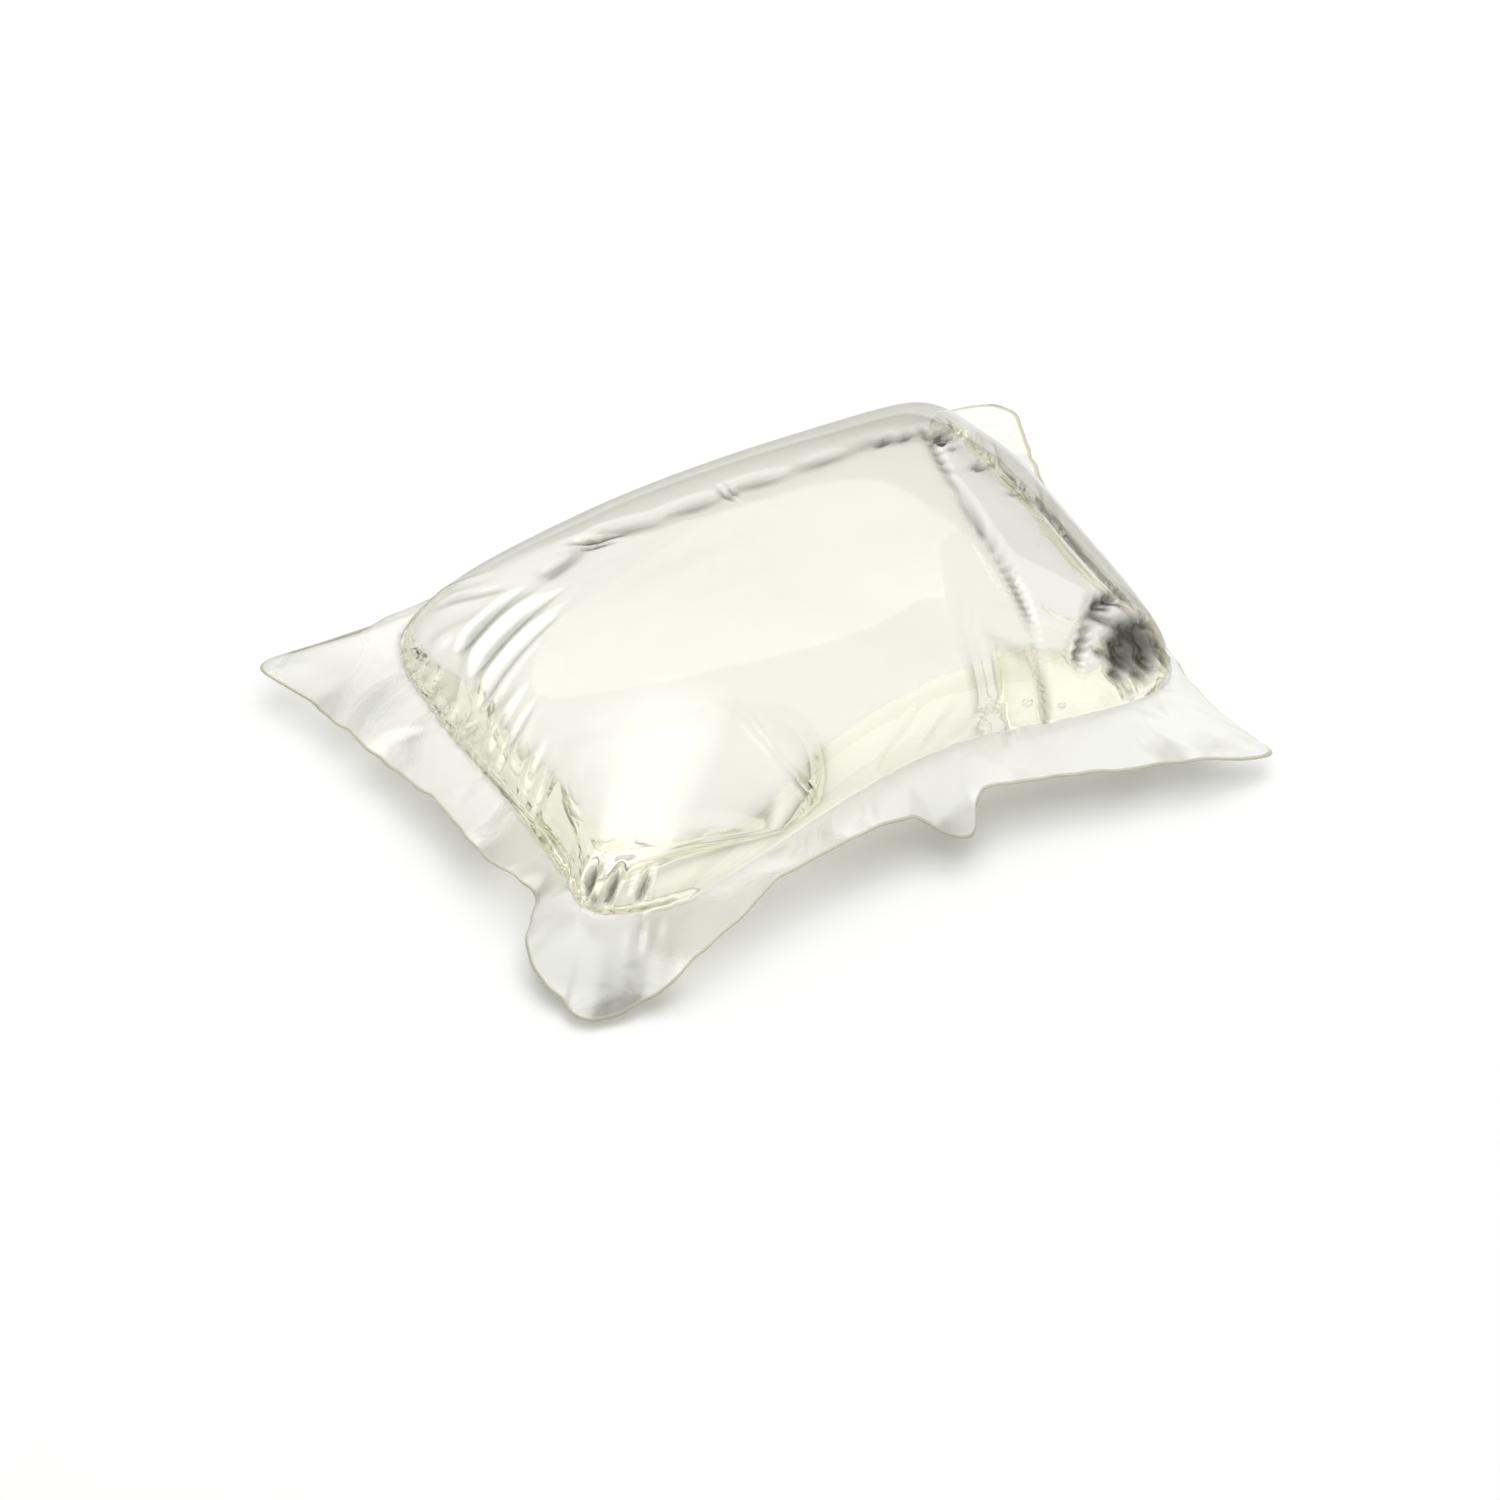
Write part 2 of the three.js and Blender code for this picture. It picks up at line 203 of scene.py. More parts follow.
# Fine puckers all along the seal, thicker and longer where the film is gathered: place, spread and
# how much more.
PUCKERS = 150
GATHERED = [(147.0, 9.0, 2.4), (172.0, 7.0, 1.2), (52.0, 6.0, 1.6), (84.0, 6.0, 1.2), (128.0, 7.0, 1.3)]
LEAST_GATHERED = 0.55
chance = np.random.default_rng(11)
for at in (np.arange(PUCKERS) + chance.uniform(-0.4, 0.4, PUCKERS)) * ROUND / PUCKERS:
    crowd = LEAST_GATHERED + sum(
        more * math.exp(-(past(mid, at) / spread) ** 2) for mid, spread, more in GATHERED)
    PLEATS.append((
        at, -chance.uniform(0.1, 0.9), 0.7 + crowd * chance.uniform(0.5, 1.4), chance.uniform(-0.5, 0.5),
        chance.uniform(0.22, 0.5), crowd * chance.uniform(0.05, 0.13) * chance.choice([-1, 1])))
CREASES = 26  # long creases that run out over the rim
for at in (np.arange(CREASES) + chance.uniform(-0.4, 0.4, CREASES)) * ROUND / CREASES:
    PLEATS.append((
        at, -chance.uniform(2.0, 5.5), 0.4, chance.uniform(-0.9, 0.9),
        chance.uniform(0.3, 0.8), chance.uniform(0.12, 0.32) * chance.choice([-1, 1])))
# Shallow lumps of the taut dome and slow waves of the rim, with their sizes in millimetres.
LUMP_SIZE, WAVE_SIZE = 0.012, 0.22
LUMPS = [
    (chance.uniform(0.18, 0.55), chance.uniform(0, math.tau), chance.uniform(0, math.tau))
    for _ in range(7)]
WAVES = [
    (n, chance.uniform(0, math.tau), chance.uniform(0.5, 1.0) / (1 + 0.05 * n))
    for n in (5, 8, 13, 19, 27)]

# Small dimples where the shoulder of the dome has buckled, and the crumpled corner beside the
# bubble: place, distance up, radius and depth. The last one stands out.
DIMPLES = [
    (134.4, 16.6, 0.8, 0.75), (136.2, 18.2, 0.6, 0.7), (133.0, 17.6, 0.5, 0.5), (81.3, 12.8, 0.75, 0.75),
    (79.0, 13.4, 0.4, 0.45), (75.0, 12.8, 0.7, 0.7), (69.6, 11.8, 0.5, 0.4),
    (113.0, 15.6, 0.6, 0.5), (111.5, 15.4, 0.5, 0.4), (86.5, 17.2, 0.6, 0.5), (84.6, 15.3, 0.5, 0.5),
    (53.3, 9.4, 0.55, 0.7), (52.0, 8.5, 0.5, 0.8), (54.7, 8.2, 0.55, 0.8), (56.0, 7.0, 0.5, 0.6),
    (52.6, 6.4, 0.9, 1.2), (54.0, 5.6, 0.8, 1.1), (51.0, 5.4, 0.95, 1.3), (53.0, 4.2, 0.95, 1.3),
    (55.3, 4.6, 0.7, 1.0), (50.0, 3.9, 0.85, 1.3), (51.8, 2.9, 0.8, 1.2), (54.4, 2.8, 0.7, 0.9),
    (49.2, 5.6, 0.45, 0.6), (53.4, 1.8, 0.5, 0.7), (48.8, 2.9, 0.5, 0.8), (50.4, 2.0, 0.5, 0.7),
    (56.4, 3.4, 0.5, 0.6), (46.6, 8.6, 2.2, -0.55),
]
DIMPLE_TALL = 1.3  # a dimple is this much taller than wide
# Folds, each by its points seen from above, its half width and its depth.
FOLDS = [
    # Just inside the back shoulder, and on round the back right corner.
    ([(-13.0, 12.2), (-7.7, 12.8), (-3.9, 11.6), (0.2, 11.4), (3.9, 11.6), (8.3, 11.2), (14.0, 11.3),
      (16.7, 11.3), (19.5, 11.0), (22.0, 10.1)], 0.75, 0.42),
    ([(22.0, 10.1), (22.3, 7.3), (22.9, 4.0), (24.0, 0.5)], 0.6, 0.17),
    # Along the edge of the bubble, where the film is drawn in.
    ([(20.9, 11.5), (20.2, 8.5), (19.3, 4.5), (18.6, -1.4), (18.4, -6.0), (18.3, -9.5), (17.9, -12.6),
      (17.9, -14.4)], 0.34, 0.6),
    # Sharply across the front right corner.
    ([(21.0, -13.2), (22.0, -12.5), (23.2, -11.4), (24.6, -10.7), (26.2, -10.1)], 0.42, 1.0),
]


def buckle_height(p, q, x, y):
    height = np.zeros(np.broadcast(p, q).shape)
    for at, up, radius, deep in DIMPLES:
        height -= deep * np.exp(-((past(at, p) / radius) ** 2 + ((q - up) / (radius * DIMPLE_TALL)) ** 2))
    uneven = 0.75 + 0.25 * np.sin(1.1 * x + 0.7 * y)
    for points, half, deep in FOLDS:
        nearest = np.full(height.shape, np.inf)
        for (ax, ay), (bx, by) in zip(points, points[1:]):
            dx, dy = bx - ax, by - ay
            share = np.clip(((x - ax) * dx + (y - ay) * dy) / (dx * dx + dy * dy), 0, 1)
            nearest = np.minimum(nearest, np.hypot(x - ax - share * dx, y - ay - share * dy))
        height -= deep * uneven * np.exp(-(nearest / half) ** 2)
    return height


# A pleat rises within the first fifth of its length and fades over the second half, and the film
# beside it is drawn the other way.
RISE_RATE, FADE_RATE = 5, 2
BESIDE_DEEP, BESIDE_WIDE = 0.45, 2.1


def pleat_height(p, q):
    height = np.zeros(np.broadcast(p, q).shape)
    for at, start, end, lean, half, high in PLEATS:
        t = (q - start) / (end - start)
        taper = np.clip(np.minimum(t * RISE_RATE, (1 - t) * FADE_RATE), 0, 1)
        taper = taper * taper * (3 - 2 * taper)
        across = past(at + lean * (q - max(start, 0)), p) / half
        beside = BESIDE_DEEP * np.exp(-(across / BESIDE_WIDE) ** 2)
        height += high * taper * (np.exp(-across ** 2) - beside)
    return height


def lump_height(x, y):
    return LUMP_SIZE * sum(
        np.sin(f * (x * math.cos(turn) + y * math.sin(turn)) + phase) for f, turn, phase in LUMPS)


def rim_waves(j):
    wave = sum(size * np.sin(math.tau * n * place / ROUND + phase) for n, phase, size in WAVES)
    return WAVE_SIZE * wave * j * (0.4 + 0.6 * j)


def surface_normals(rings):
    round_pod = np.roll(rings, -1, 1) - np.roll(rings, 1, 1)
    down = np.gradient(rings, axis=0)
    normals = np.cross(down, round_pod)
    return normals / np.maximum(np.linalg.norm(normals, axis=-1), 1e-9)[..., None]


dome_base = np.array([dome_ring(k) for k in DOME_RINGS])
slant = np.linalg.norm(np.diff(dome_base, axis=0), axis=2)
up_film = np.vstack([np.cumsum(slant[::-1], 0)[::-1], np.zeros(AROUND)])
beside_cut = 1 - CUT_EDGE / np.maximum(breadth, RIM_LEAST)
rim_shares = [np.minimum(j * beside_cut, 1) for j in RIM_RINGS] + [np.ones(AROUND)]
rim_base = np.array([rim_ring(j) for j in rim_shares])
rim_slant = np.linalg.norm(np.diff(np.concatenate([seal[None], rim_base]), axis=0), axis=2)
out_rim = -np.cumsum(rim_slant, 0)

# The film lifts straight up at the seal, where the rim has to follow it, and square to itself
# higher up, where the lumps begin too.
UPRIGHT_NEAR, LUMPS_FROM = 0.7, 3.0
lean_up = surface_normals(dome_base)
near_seal = np.exp(-up_film / UPRIGHT_NEAR)[..., None]
lean_up = lean_up * (1 - near_seal) + np.array([0, 0, 1]) * near_seal
lean_up /= np.linalg.norm(lean_up, axis=-1)[..., None]
from_seal = 1 - np.exp(-up_film / LUMPS_FROM)
dome_x, dome_y = dome_base[..., 0], dome_base[..., 1]
dome_lift = pleat_height(place, up_film) + from_seal * lump_height(dome_x, dome_y)
dome_lift += buckle_height(place, up_film, dome_x, dome_y)
dome = dome_base + lean_up * dome_lift[..., None]
rim = rim_base.copy()
rim[..., 2] += pleat_height(place, out_rim) + np.array([rim_waves(j) for j in rim_shares])
rim_lift = rim[..., 2] - rim_base[..., 2]
OFF_TABLE = 0.02  # the pocket film's least height above the lid film where the rim droops to the table
rim[..., 2] = np.maximum(rim[..., 2], FILM + OFF_TABLE)

# Painted shade: the film is tinted darker in the valleys of its pleats, folds and dimples, and less so on
# the rim. The drooping front left corner is tinted darker too, as painted shade, but for its tip.
VALLEY_DEEP, VALLEY_ONSET, RIM_SHARE = 0.9, 1.25, 0.5
CORNER_SHADE, CORNER_HALF, CORNER_FROM, CORNER_TO = 0.13, 5.5, 1.5, 7.2
CORNER_FADE = 1.6


def painted_valley_shade(lift):
    return np.clip(-lift / VALLEY_DEEP, 0, 1) ** VALLEY_ONSET


dome_painted_shade = painted_valley_shade(dome_lift)
corner_shade_share = np.exp(-(past(0, place) / CORNER_HALF) ** 2)
corner_shade_share = corner_shade_share * np.clip(-out_rim / CORNER_FROM, 0, 1)
corner_shade_share *= np.clip((CORNER_TO + out_rim) / CORNER_FADE, 0, 1)
rim_painted_shade = painted_valley_shade(rim_lift - rim_lift.mean(1, keepdims=True)) * RIM_SHARE + CORNER_SHADE * corner_shade_share


def ring_faces(middle, rings, turned=False):
    i = np.arange(AROUND)
    n = (i + 1) % AROUND
    faces = [(middle, middle + 1 + a, middle + 1 + b) for a, b in zip(i, n)]
    for r in range(rings - 1):
        a, b = middle + 1 + r * AROUND, middle + 1 + (r + 1) * AROUND
        faces += [(a + u, b + u, b + v, a + v) for u, v in zip(i, n)]
    return [face[::-1] for face in faces] if turned else faces


def new_piece(name, points, faces):
    mesh = bpy.data.meshes.new(name)
    mesh.from_pydata((points * MM).tolist(), [], faces)
    piece = bpy.data.objects.new(name, mesh)
    bpy.context.scene.collection.objects.link(piece)
    return piece


def film_sheet(name, middle, rings, turned=False):
    points = np.concatenate([[middle], rings.reshape(-1, 3)])
    piece = new_piece(name, points, ring_faces(0, len(rings), turned))
    piece.data.shade_smooth()
    return piece


WET, DRY, ON_RIM, AT_CUT = range(4)  # the finishes of the film's outer face
OUTER_FINISHES = 4  # its inner face takes its finish from the four after these


def give_thickness(film):
    skin = film.modifiers.new("film thickness", "SOLIDIFY")
    skin.thickness = FILM * MM
    skin.offset = 1
    skin.use_even_offset = False
    skin.use_rim = True
    skin.material_offset = OUTER_FINISHES


def new_material(name):
    material = bpy.data.materials.new(name)
    material.use_nodes = True
    material.node_tree.nodes.clear()
    return material, material.node_tree.nodes, material.node_tree.links


def add_node(nodes, kind, numbers={}, **ways):
    node = nodes.new("ShaderNode" + kind)
    for way, choice in ways.items():
        setattr(node, way, choice)
    for socket, number in numbers.items():
        node.inputs[socket].default_value = number
    return node


CRINKLE_SCALE, CLOUD_SCALE = 420, 75  # crinkles every 2 to 3 mm, and clouds every 13 mm or so
CLOUD_EDGE = (0.47, 0.545)  # where a cloud begins and where it is full
SHINE_HEAD_ON, SHINE_EDGE_ON, SHINE_POWER = 0.045, 0.95, 5.0
SLANT_POWER = 3.0
# Painted shade: the dark tint that valleys, folds and the front left corner give to what is seen through
# the film.
PAINTED_SHADE_TINT = (0.27, 0.27, 0.24, 1)
FILM_ROUGHNESS = 0.06


def clear_film_material(name, clear, slanting, haze, thin_haze, thick_haze, shine, crinkle,
                        cloudier_right=0.0):
    material, nodes, links = new_material(name)
    where = nodes.new("ShaderNodeTexCoord")
    crinkles = add_node(nodes, "TexNoise", {"Scale": CRINKLE_SCALE, "Detail": 3, "Distortion": 0.6})
    links.new(where.outputs["Object"], crinkles.inputs["Vector"])
    bump = add_node(nodes, "Bump", {"Strength": 0.3, "Distance": crinkle * MM})
    links.new(crinkles.outputs["Fac"], bump.inputs["Height"])
    edge_on = add_node(nodes, "LayerWeight", {"Blend": 0.5})
    links.new(bump.outputs["Normal"], edge_on.inputs["Normal"])

    def raised(power):
        node = add_node(nodes, "Math", {1: power}, operation="POWER")
        links.new(edge_on.outputs["Facing"], node.inputs[0])
        return node.outputs[0]

    shining = add_node(
        nodes, "Math", {1: SHINE_EDGE_ON * shine, 2: SHINE_HEAD_ON * shine}, operation="MULTIPLY_ADD")
    links.new(raised(SHINE_POWER), shining.inputs[0])
    # Painted shade: the mark on each point mixes that dark tint into the film's clear tint.
    shade_mark = add_node(nodes, "Attribute", attribute_name="painted_shade")
    tint = add_node(nodes, "Mix", {"A": (*clear, 1), "B": (*slanting, 1)}, data_type="RGBA")
    links.new(raised(SLANT_POWER), tint.inputs["Factor"])
    painted_shading = add_node(nodes, "Mix", {"B": PAINTED_SHADE_TINT}, data_type="RGBA")
    links.new(shade_mark.outputs["Fac"], painted_shading.inputs["Factor"])
    links.new(tint.outputs["Result"], painted_shading.inputs["A"])
    through = nodes.new("ShaderNodeBsdfTransparent")
    links.new(painted_shading.outputs["Result"], through.inputs["Color"])
    milky = add_node(nodes, "BsdfDiffuse", {"Color": (*haze, 1)})
    links.new(bump.outputs["Normal"], milky.inputs["Normal"])
    cloud = add_node(nodes, "TexNoise", {"Scale": CLOUD_SCALE, "Detail": 2.5, "Distortion": 1.2})
    links.new(where.outputs["Object"], cloud.inputs["Vector"])
    patches = add_node(nodes, "MapRange", {
        "From Min": CLOUD_EDGE[0], "From Max": CLOUD_EDGE[1], "To Min": thin_haze, "To Max": thick_haze})
    links.new(cloud.outputs["Fac"], patches.inputs["Value"])
    along_pod = nodes.new("ShaderNodeSeparateXYZ")
    links.new(where.outputs["Object"], along_pod.inputs[0])
    haze_here = add_node(nodes, "Math", {1: cloudier_right}, operation="MULTIPLY_ADD", use_clamp=True)
    links.new(along_pod.outputs["X"], haze_here.inputs[0])
    links.new(patches.outputs["Result"], haze_here.inputs[2])
    gloss = add_node(nodes, "BsdfGlossy", {"Roughness": FILM_ROUGHNESS})
    links.new(bump.outputs["Normal"], gloss.inputs["Normal"])
    body = nodes.new("ShaderNodeMixShader")
    links.new(haze_here.outputs[0], body.inputs["Fac"])
    links.new(through.outputs[0], body.inputs[1])
    links.new(milky.outputs[0], body.inputs[2])
    film = nodes.new("ShaderNodeMixShader")
    links.new(shining.outputs[0], film.inputs["Fac"])
    links.new(body.outputs[0], film.inputs[1])
    links.new(gloss.outputs[0], film.inputs[2])
    out = nodes.new("ShaderNodeOutputMaterial")
    links.new(film.outputs[0], out.inputs["Surface"])
    return material


CLEAR, SLANTING, HAZE = (0.985, 0.985, 0.975), (0.68, 0.68, 0.62), (0.82, 0.82, 0.76)
# The liquid wets the film smooth, over the bubble it keeps its fine crinkle, and the rim has dried
# hazy, more so towards the right. The cut melted into a cream bead.
wet_finish = clear_film_material(
    "wet_film", clear=CLEAR, slanting=SLANTING, haze=HAZE, thin_haze=0.01, thick_haze=0.03,
    shine=1.2, crinkle=0.0003)
dry_finish = clear_film_material(
    "dry_film", clear=CLEAR, slanting=(0.8, 0.8, 0.76), haze=HAZE, thin_haze=0.01, thick_haze=0.03,
    shine=2.0, crinkle=0.008)
rim_finish = clear_film_material(
    "rim_film", clear=(0.99, 0.99, 0.98), slanting=(0.7, 0.7, 0.64), haze=(0.98, 0.98, 0.95),
    thin_haze=0.16, thick_haze=0.62, shine=1.3, crinkle=0.06, cloudier_right=6.0)
edge_finish = clear_film_material(
    "cut_edge", clear=(0.93, 0.92, 0.86), slanting=(0.8, 0.79, 0.7), haze=(0.90, 0.89, 0.79),
    thin_haze=0.35, thick_haze=0.5, shine=0.8, crinkle=0.05)
under_finish = clear_film_material(
    "wet_lid_film", clear=CLEAR, slanting=CLEAR, haze=HAZE, thin_haze=0.004, thick_haze=0.012,
    shine=0.24, crinkle=0.0006)
# Shine and haze lie on the film's outer face, and its inner face only tints what is seen through it.
inner_finish = clear_film_material(
    "inner_face", clear=CLEAR, slanting=SLANTING, haze=HAZE, thin_haze=0.0, thick_haze=0.0,
    shine=0.0, crinkle=0.0006)
inner_lid_finish = clear_film_material(
    "inner_lid_face", clear=CLEAR, slanting=CLEAR, haze=HAZE, thin_haze=0.0, thick_haze=0.0,
    shine=0.0, crinkle=0.0006)

# The bubble of air that is shut in under the film at the blunt right end is a squared egg.
AIR_MIDDLE = (POCKET_MIDDLE[0] + POCKET_LENGTH / 2 + 2.0, 2.0, 13.5)
AIR_HALF = (13.5, 14.6, 8.5)
AIR_SQUARENESS = 3
AIR_LEAN = 0.15  # how far its front end leans to the left


def lay_finishes(film, rings, pocket_rows, painted_shade, wetted, inner):
    for finish in (wetted, dry_finish, rim_finish, edge_finish, inner, inner, inner, edge_finish):
        film.data.materials.append(finish)
    middles = (rings[:-1] + rings[1:]) / 2
    from_air = middles - AIR_MIDDLE
    from_air[..., 0] -= AIR_LEAN * from_air[..., 1]
    in_air = (np.abs(from_air / AIR_HALF) ** AIR_SQUARENESS).sum(-1) < 1
    finish_of = np.where(in_air, DRY, WET)
    finish_of[pocket_rows - 1:] = ON_RIM
    finish_of[-1] = AT_CUT
    each_face = np.concatenate([np.full(AROUND, WET), finish_of.reshape(-1)])
    film.data.polygons.foreach_set("material_index", each_face)
    # Painted shade: each point keeps how much of the darker tint its valley or the front left corner gives
    # it.
    mark = film.data.attributes.new("painted_shade", "FLOAT", "POINT")
    mark.data.foreach_set("value", np.concatenate([[0.0], painted_shade.reshape(-1)]))


pocket_rings = np.concatenate([dome, rim])
pocket_painted_shade = np.concatenate([dome_painted_shade, rim_painted_shade])
pocket = film_sheet("pocket_film_sheet", np.array([*CREST, SEAM_HEIGHT + CROWN]), pocket_rings)
give_thickness(pocket)
lay_finishes(pocket, pocket_rings, len(dome), pocket_painted_shade, wet_finish, inner_finish)
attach(pocket, "root")
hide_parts("pocket_film")

# The lid film closes the pocket from below. It is the same clear sheet, laid flat over the filled
# pocket and heat-sealed to its margin. It sags under the liquid into a shallow belly that lies flat
# on the table, and it is the lower layer of the rim.

BELLY_FLAT = 0.62  # share of the pocket that lies flat
BELLY_ROUND = (2.0, 0.62)
FLAT_ROWS, SLOPE_ROWS = 6, 22
CLOSER_TO_SEAL = 1.3  # above 1 the rings of the slope lie closer towards the seal
slope_shares = 1 - (1 - np.linspace(0, 1, SLOPE_ROWS + 1)[1:]) ** CLOSER_TO_SEAL
BELLY_RINGS = np.concatenate([
    np.linspace(0, BELLY_FLAT, FLAT_ROWS + 1)[1:], BELLY_FLAT + (1 - BELLY_FLAT) * slope_shares])
PUCKERS_REACH = 1.2  # how far the seal's puckers run on under the belly


def belly_ring(k):
    u = max((k - BELLY_FLAT) / (1 - BELLY_FLAT), 0)
    rise = 1 - max(1 - u ** BELLY_ROUND[0], 0) ** BELLY_ROUND[1]
    return np.column_stack([level_line(k), FILM + (seal[:, 2] - FILM) * rise])


belly_base = np.array([belly_ring(k) for k in BELLY_RINGS])
belly_slant = np.linalg.norm(np.diff(belly_base, axis=0), axis=2)
up_belly = np.vstack([np.cumsum(belly_slant[::-1], 0)[::-1], np.zeros(AROUND)])
belly = belly_base.copy()
belly[..., 2] += pleat_height(place, up_belly) * np.exp(-up_belly / PUCKERS_REACH)
belly[-1] = dome[-1]
belly[..., 2] = np.maximum(belly[..., 2], FILM)
lid_rings = np.concatenate([belly, rim])
lid_painted_shade = np.concatenate([np.zeros(belly.shape[:2]), rim_painted_shade])
lid = film_sheet("lid_film_sheet", np.array([*CREST, FILM]), lid_rings, turned=True)
give_thickness(lid)
lay_finishes(lid, lid_rings, len(belly), lid_painted_shade, under_finish, inner_lid_finish)
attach(lid, "root")
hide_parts("lid_film")

# The detergent is a clear, faintly straw-coloured liquid that fills the pocket against both films.
# A bubble of air is shut in with it at the blunt right end, and smaller ones cling along the seal.

GAP = 0.03  # between the liquid and the films
SEAL_GAP = 0.12  # and from the seal inwards
liquid_top = dome - surface_normals(dome) * GAP
liquid_bottom = belly + surface_normals(belly) * GAP
liquid_top[-1, :, :2] = seal[:, :2] - outward * SEAL_GAP
liquid_top[-1, :, 2] = dome[-1, :, 2]

under_dome = len(liquid_top) * AROUND + 1
liquid_points = np.concatenate([
    [[*CREST, SEAM_HEIGHT + CROWN - GAP]], liquid_top.reshape(-1, 3),
    [[*CREST, FILM + GAP]], liquid_bottom[:-1].reshape(-1, 3)])
liquid_faces = ring_faces(0, len(liquid_top)) + ring_faces(under_dome, len(liquid_bottom) - 1, turned=True)
top_edge = np.arange(under_dome - AROUND, under_dome)
bottom_edge = np.arange(len(liquid_points) - AROUND, len(liquid_points))
liquid_faces += list(zip(top_edge, bottom_edge, np.roll(bottom_edge, -1), np.roll(top_edge, -1)))
detergent = new_piece("detergent_fill", liquid_points, liquid_faces)

# Small bubbles: place along the seal, distance up the film, depth under it, and radius.
SMALL_BUBBLES = [
    (40.9, 1.9, 0.75, 0.5), (43.4, 1.2, 0.55, 0.36), (145.0, 2.4, 0.6, 0.45), (143.2, 1.4, 0.45, 0.3),
    (148.4, 1.6, 0.45, 0.28), (139.6, 1.5, 0.45, 0.3), (141.4, 2.6, 0.45, 0.22), (150.6, 2.2, 0.4, 0.2),
    (127.4, 2.2, 0.5, 0.36), (125.8, 1.6, 0.4, 0.26), (113.2, 1.6, 0.4, 0.24), (82.4, 2.0, 0.45, 0.3),
]
BUBBLE_FLATNESS = 0.8  # height over breadth
BUBBLE_SINK = 0.4  # how much further down its middle lies, in radii
CREASE_ANGLE = math.radians(38)  # a sharper turn than this, as at the bubble's rim, isn't smoothed


def egg(shape, middle, half, squareness, columns, rows, lean=0.0):
    rings = []
    for tilt in np.linspace(-math.pi / 2, math.pi / 2, rows)[1:-1]:
        ring = []
        for a in np.linspace(0, math.tau, columns, endpoint=False):
            d = np.array([math.cos(tilt) * math.cos(a), math.cos(tilt) * math.sin(a), math.sin(tilt)])
            d *= (np.abs(d) ** squareness).sum() ** (-1 / squareness)
            d = d * half
            d[0] += lean * d[1]
            ring.append(shape.verts.new(Vector((np.array(middle) + d) * MM)))
        rings.append(ring)
    bottom, top = (
        shape.verts.new(Vector((np.array(middle) + np.array([0, 0, z]) * half) * MM)) for z in (-1, 1))
    for low, high in zip(rings, rings[1:]):
        for c in range(columns):
            n = (c + 1) % columns
            shape.faces.new((low[c], low[n], high[n], high[c]))
    for c in range(columns):
        n = (c + 1) % columns
        shape.faces.new((bottom, rings[0][n], rings[0][c]))
        shape.faces.new((top, rings[-1][c], rings[-1][n]))


air = bmesh.new()
egg(air, AIR_MIDDLE, AIR_HALF, AIR_SQUARENESS, columns=160, rows=81, lean=AIR_LEAN)
dome_in = surface_normals(dome)
for at, up, under, radius in SMALL_BUBBLES:
    station = int(np.argmin(np.abs(place - at)))
    ring = int(np.argmin(np.abs(up_film[:, station] - up)))
    middle = dome[ring, station] - dome_in[ring, station] * (under + radius * BUBBLE_SINK)
    egg(air, middle, np.array([radius, radius, radius * BUBBLE_FLATNESS]), 2, columns=24, rows=13)
air_mesh = bpy.data.meshes.new("air")
air.to_mesh(air_mesh)
air.free()
air_shape = bpy.data.objects.new("air", air_mesh)
bpy.context.scene.collection.objects.link(air_shape)
take_out = detergent.modifiers.new("air taken out", "BOOLEAN")
take_out.operation = "DIFFERENCE"
take_out.object = air_shape
take_out.solver = "MANIFOLD"
bpy.context.view_layer.update()
filled = bpy.data.meshes.new_from_object(detergent.evaluated_get(bpy.context.evaluated_depsgraph_get()))
detergent.modifiers.clear()
detergent.data = filled
filled.shade_smooth()
filled.set_sharp_from_angle(angle=CREASE_ANGLE)
bpy.data.objects.remove(air_shape)

# Light that only casts shadows or lights a dull surface goes straight through the liquid, so that
# the shadow under the pod stays soft and pale.
liquid_finish, nodes, links = new_material("detergent")
liquid = add_node(nodes, "BsdfPrincipled", {
    "Base Color": (1, 1, 1, 1), "Roughness": 0.0, "IOR": 1.36, "Transmission Weight": 1.0})
lamp_through = add_node(nodes, "BsdfTransparent", {"Color": (0.86, 0.86, 0.84, 1)})
ray = nodes.new("ShaderNodeLightPath")
either = add_node(nodes, "Math", operation="MAXIMUM")
links.new(ray.outputs["Is Shadow Ray"], either.inputs[0])
links.new(ray.outputs["Is Diffuse Ray"], either.inputs[1])
pass_lamps = nodes.new("ShaderNodeMixShader")
links.new(either.outputs[0], pass_lamps.inputs["Fac"])
links.new(liquid.outputs[0], pass_lamps.inputs[1])
links.new(lamp_through.outputs[0], pass_lamps.inputs[2])
straw = add_node(nodes, "VolumeAbsorption", {"Color": (0.92, 0.90, 0.66, 1), "Density": 10})
out = nodes.new("ShaderNodeOutputMaterial")
links.new(pass_lamps.outputs[0], out.inputs["Surface"])
links.new(straw.outputs[0], out.inputs["Volume"])
detergent.data.materials.clear()
detergent.data.materials.append(liquid_finish)
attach(detergent, "root")
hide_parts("detergent")

# The table is a plain white sheet under a large soft lamp that hangs over the pod, with soft daylight
# from the back right, and the camera looks down at the pod's long front side. None of it is part of
# the pod.

